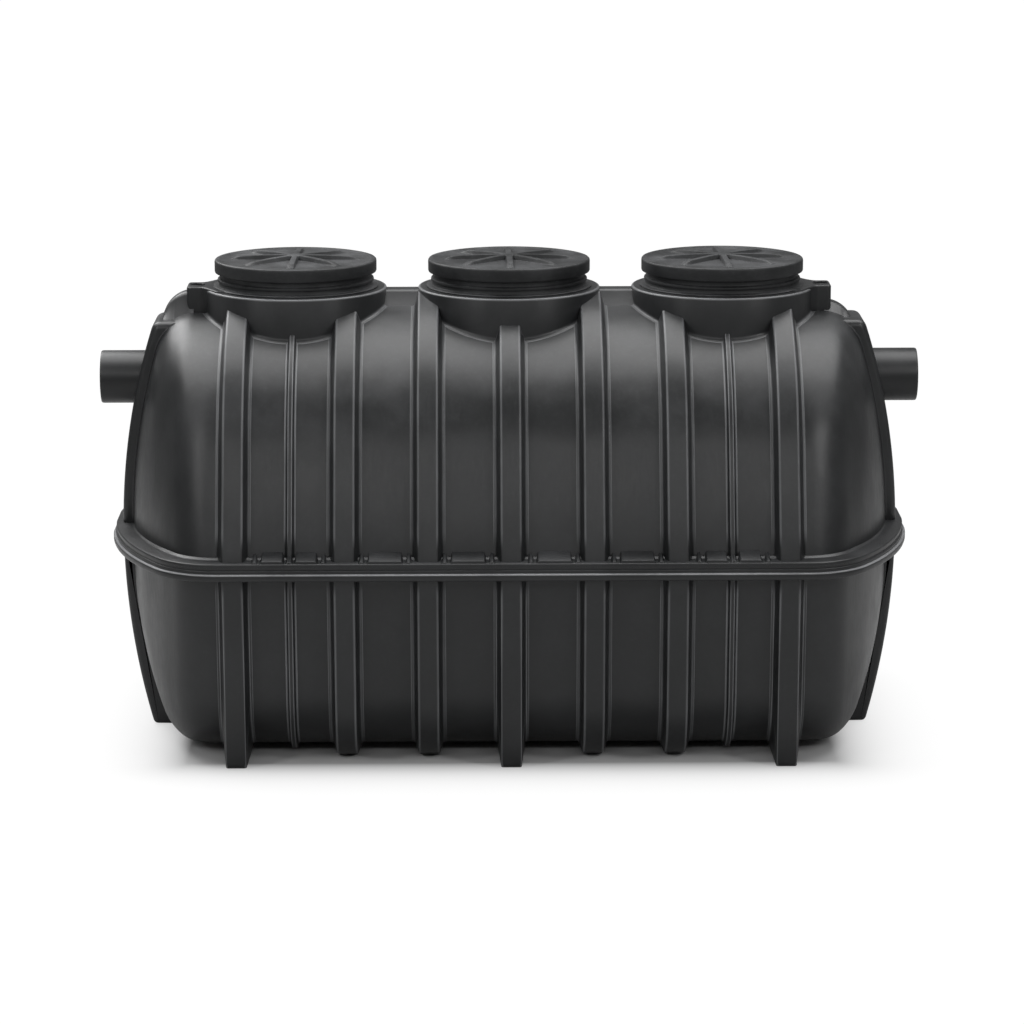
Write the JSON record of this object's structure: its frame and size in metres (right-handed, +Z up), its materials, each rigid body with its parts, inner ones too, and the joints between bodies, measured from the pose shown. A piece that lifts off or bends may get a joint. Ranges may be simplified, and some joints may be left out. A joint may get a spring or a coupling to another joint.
{
  "type": "septic tank",
  "caption": "Horizontal moulded septic tank of two ribbed half-shells joined at a stepped flange, with lidded access turrets, lifting lugs and a drain spigot at each end.",
  "frame": {"origin": "on the floor under the middle of the tank, at the bottom centre of its bounding box", "axes": "+X along the tank from the inlet end to the outlet end, +Y across it, +Z up"},
  "size_m": [1.7, 0.952, 0.99],
  "materials": {
    "shell_plastic": "satin black rotationally moulded polyethylene",
    "lid_plastic": "satin black injection-moulded polypropylene",
    "pipe_plastic": "smooth black drain pipe"
  },
  "bodies": {
    "root": {"lower_shell_middle": "shell_plastic", "lower_shell_inlet_end": "shell_plastic", "lower_shell_outlet_end": "shell_plastic", "upper_shell_middle": "shell_plastic", "upper_shell_inlet_end": "shell_plastic", "upper_shell_outlet_end": "shell_plastic", "lower_flange": "shell_plastic", "upper_flange": "shell_plastic", "flange_pads": "shell_plastic", "lower_rib_1": "shell_plastic", "lower_rib_2": "shell_plastic", "lower_rib_3": "shell_plastic", "lower_rib_4": "shell_plastic", "lower_rib_5": "shell_plastic", "lower_rib_6": "shell_plastic", "lower_rib_7": "shell_plastic", "upper_rib_1": "shell_plastic", "upper_rib_2": "shell_plastic", "upper_rib_3": "shell_plastic", "upper_rib_4": "shell_plastic", "upper_rib_5": "shell_plastic", "upper_rib_6": "shell_plastic", "upper_rib_7": "shell_plastic", "thin_ribs_inlet": "shell_plastic", "thin_ribs_outlet": "shell_plastic", "lower_end_rib_inlet": "shell_plastic", "lower_end_rib_outlet": "shell_plastic", "upper_end_rib_inlet": "shell_plastic", "upper_end_rib_outlet": "shell_plastic", "collar_inlet": "shell_plastic", "collar_middle": "shell_plastic", "collar_outlet": "shell_plastic", "neck_inlet": "lid_plastic", "neck_middle": "lid_plastic", "neck_outlet": "lid_plastic", "lid_inlet": "lid_plastic", "lid_middle": "lid_plastic", "lid_outlet": "lid_plastic", "lifting_lugs": "shell_plastic", "crown_rails": "shell_plastic", "shoulder_rib_inlet": "shell_plastic", "shoulder_rib_outlet": "shell_plastic", "inlet_pipe": "pipe_plastic", "outlet_pipe": "pipe_plastic"}
  },
  "joints": []
}
